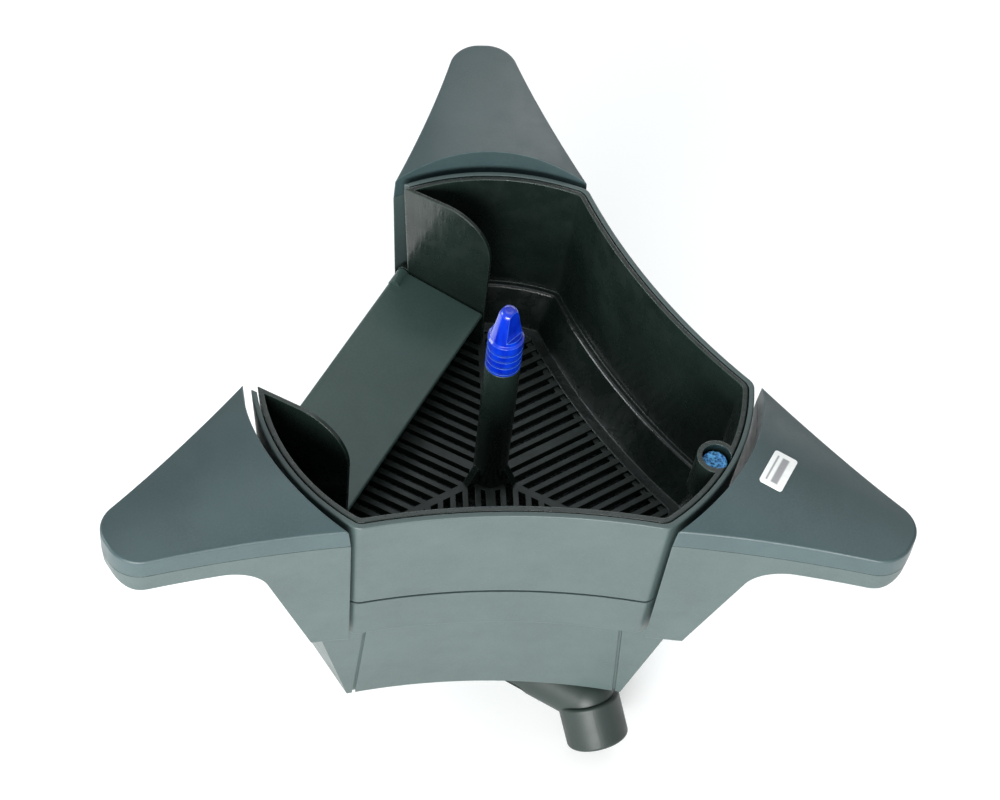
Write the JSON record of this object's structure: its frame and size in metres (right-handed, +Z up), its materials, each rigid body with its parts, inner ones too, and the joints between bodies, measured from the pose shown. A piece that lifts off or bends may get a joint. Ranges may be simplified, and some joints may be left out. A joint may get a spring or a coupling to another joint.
{
  "type": "floating pond skimmer",
  "caption": "Floating pond skimmer: star-shaped float ring with domed arms, lift-out leaf basket with hinged weir flap and twist grip, pump chamber and swivelling angled outlet below.",
  "frame": {"origin": "on the vertical centre axis, in the plane of the basket's rim, which the floats hold just above the water", "axes": "+Z up; +Y along the back float; +X to the right, along the widest extent, float tip to float tip"},
  "size_m": [0.4, 0.3509, 0.2914],
  "materials": {
    "body_plastic": "fine matte grain",
    "float_plastic": "fine matte grain",
    "basket_plastic": "satin gloss",
    "flap_plastic": "satin",
    "outlet_plastic": "satin",
    "pump_plastic": "satin",
    "impeller_plastic": "satin",
    "grip_blue": "translucent gloss",
    "foam_blue": "open-cell foam",
    "foam_dark": "open-cell foam",
    "foam_pale": "closed-cell foam",
    "seal_rubber": "matte",
    "magnet": "smooth ferrite",
    "bush": "smooth",
    "ceramic": "polished ceramic",
    "winding": "resin-potted copper winding",
    "steel": "stainless",
    "label_film": "matt film"
  },
  "bodies": {
    "housing": {"rim_wall": "body_plastic", "carrier_band": "body_plastic", "lower_housing": "body_plastic", "float_shell_back": "float_plastic", "float_cover_back": "float_plastic", "float_foam_back": "foam_pale", "float_shell_left": "float_plastic", "float_cover_left": "float_plastic", "float_foam_left": "foam_pale", "float_shell_right": "float_plastic", "float_cover_right": "float_plastic", "float_foam_right": "foam_pale", "filter_foam": "foam_dark", "pump_deck": "body_plastic", "motor_can": "pump_plastic", "stator": "winding", "rotor_well": "pump_plastic", "pump_shaft": "ceramic", "pump_volute": "pump_plastic", "volute_seal": "seal_rubber", "down_pipe": "pump_plastic", "outlet_keeper": "outlet_plastic", "cable_gland": "outlet_plastic", "gland_nut": "outlet_plastic", "float_screws": "steel", "housing_screws": "steel", "cover_screws": "steel", "keeper_screws": "steel", "pump_screws": "steel", "plain_label": "label_film"},
    "basket": {"filter_basket": "basket_plastic", "basket_floor": "basket_plastic", "handle_tube": "basket_plastic", "hinge_pins": "steel"},
    "flap": {"weir_flap": "flap_plastic", "flap_float": "foam_pale"},
    "grip": {"grip_cap": "grip_blue"},
    "plug": {"air_filter_plug": "foam_blue"},
    "rotor": {"rotor_magnet": "magnet", "rotor_bush": "bush", "impeller": "impeller_plastic"},
    "outlet": {"outlet_elbow": "outlet_plastic"}
  },
  "joints": [
    {"name": "basket_lift", "type": "slide", "parent": "housing", "child": "basket", "axis": [0, 0, 1], "range_m": [0, 0.2]},
    {"name": "flap_hinge", "type": "hinge", "parent": "basket", "child": "flap", "pos_m": [-0.08357, 0.04825, -0.067], "axis": [-0.5, -0.866, 0], "range_deg": [0, 98]},
    {"name": "grip_twist", "type": "hinge", "parent": "basket", "child": "grip", "pos_m": [0, 0, 0], "axis": [0, 0, 1], "range_deg": [0, 90]},
    {"name": "plug_pull", "type": "slide", "parent": "basket", "child": "plug", "axis": [0.0604, -0.0349, 0.9976], "range_m": [0, 0.03]},
    {"name": "rotor_spin", "type": "hinge", "parent": "housing", "child": "rotor", "pos_m": [0, 0.016, -0.16], "axis": [0, 0, 1], "continuous": true},
    {"name": "outlet_swivel", "type": "hinge", "parent": "housing", "child": "outlet", "pos_m": [0.006, -0.033, -0.2], "axis": [0, 0, 1], "range_deg": [-45, 45]}
  ]
}
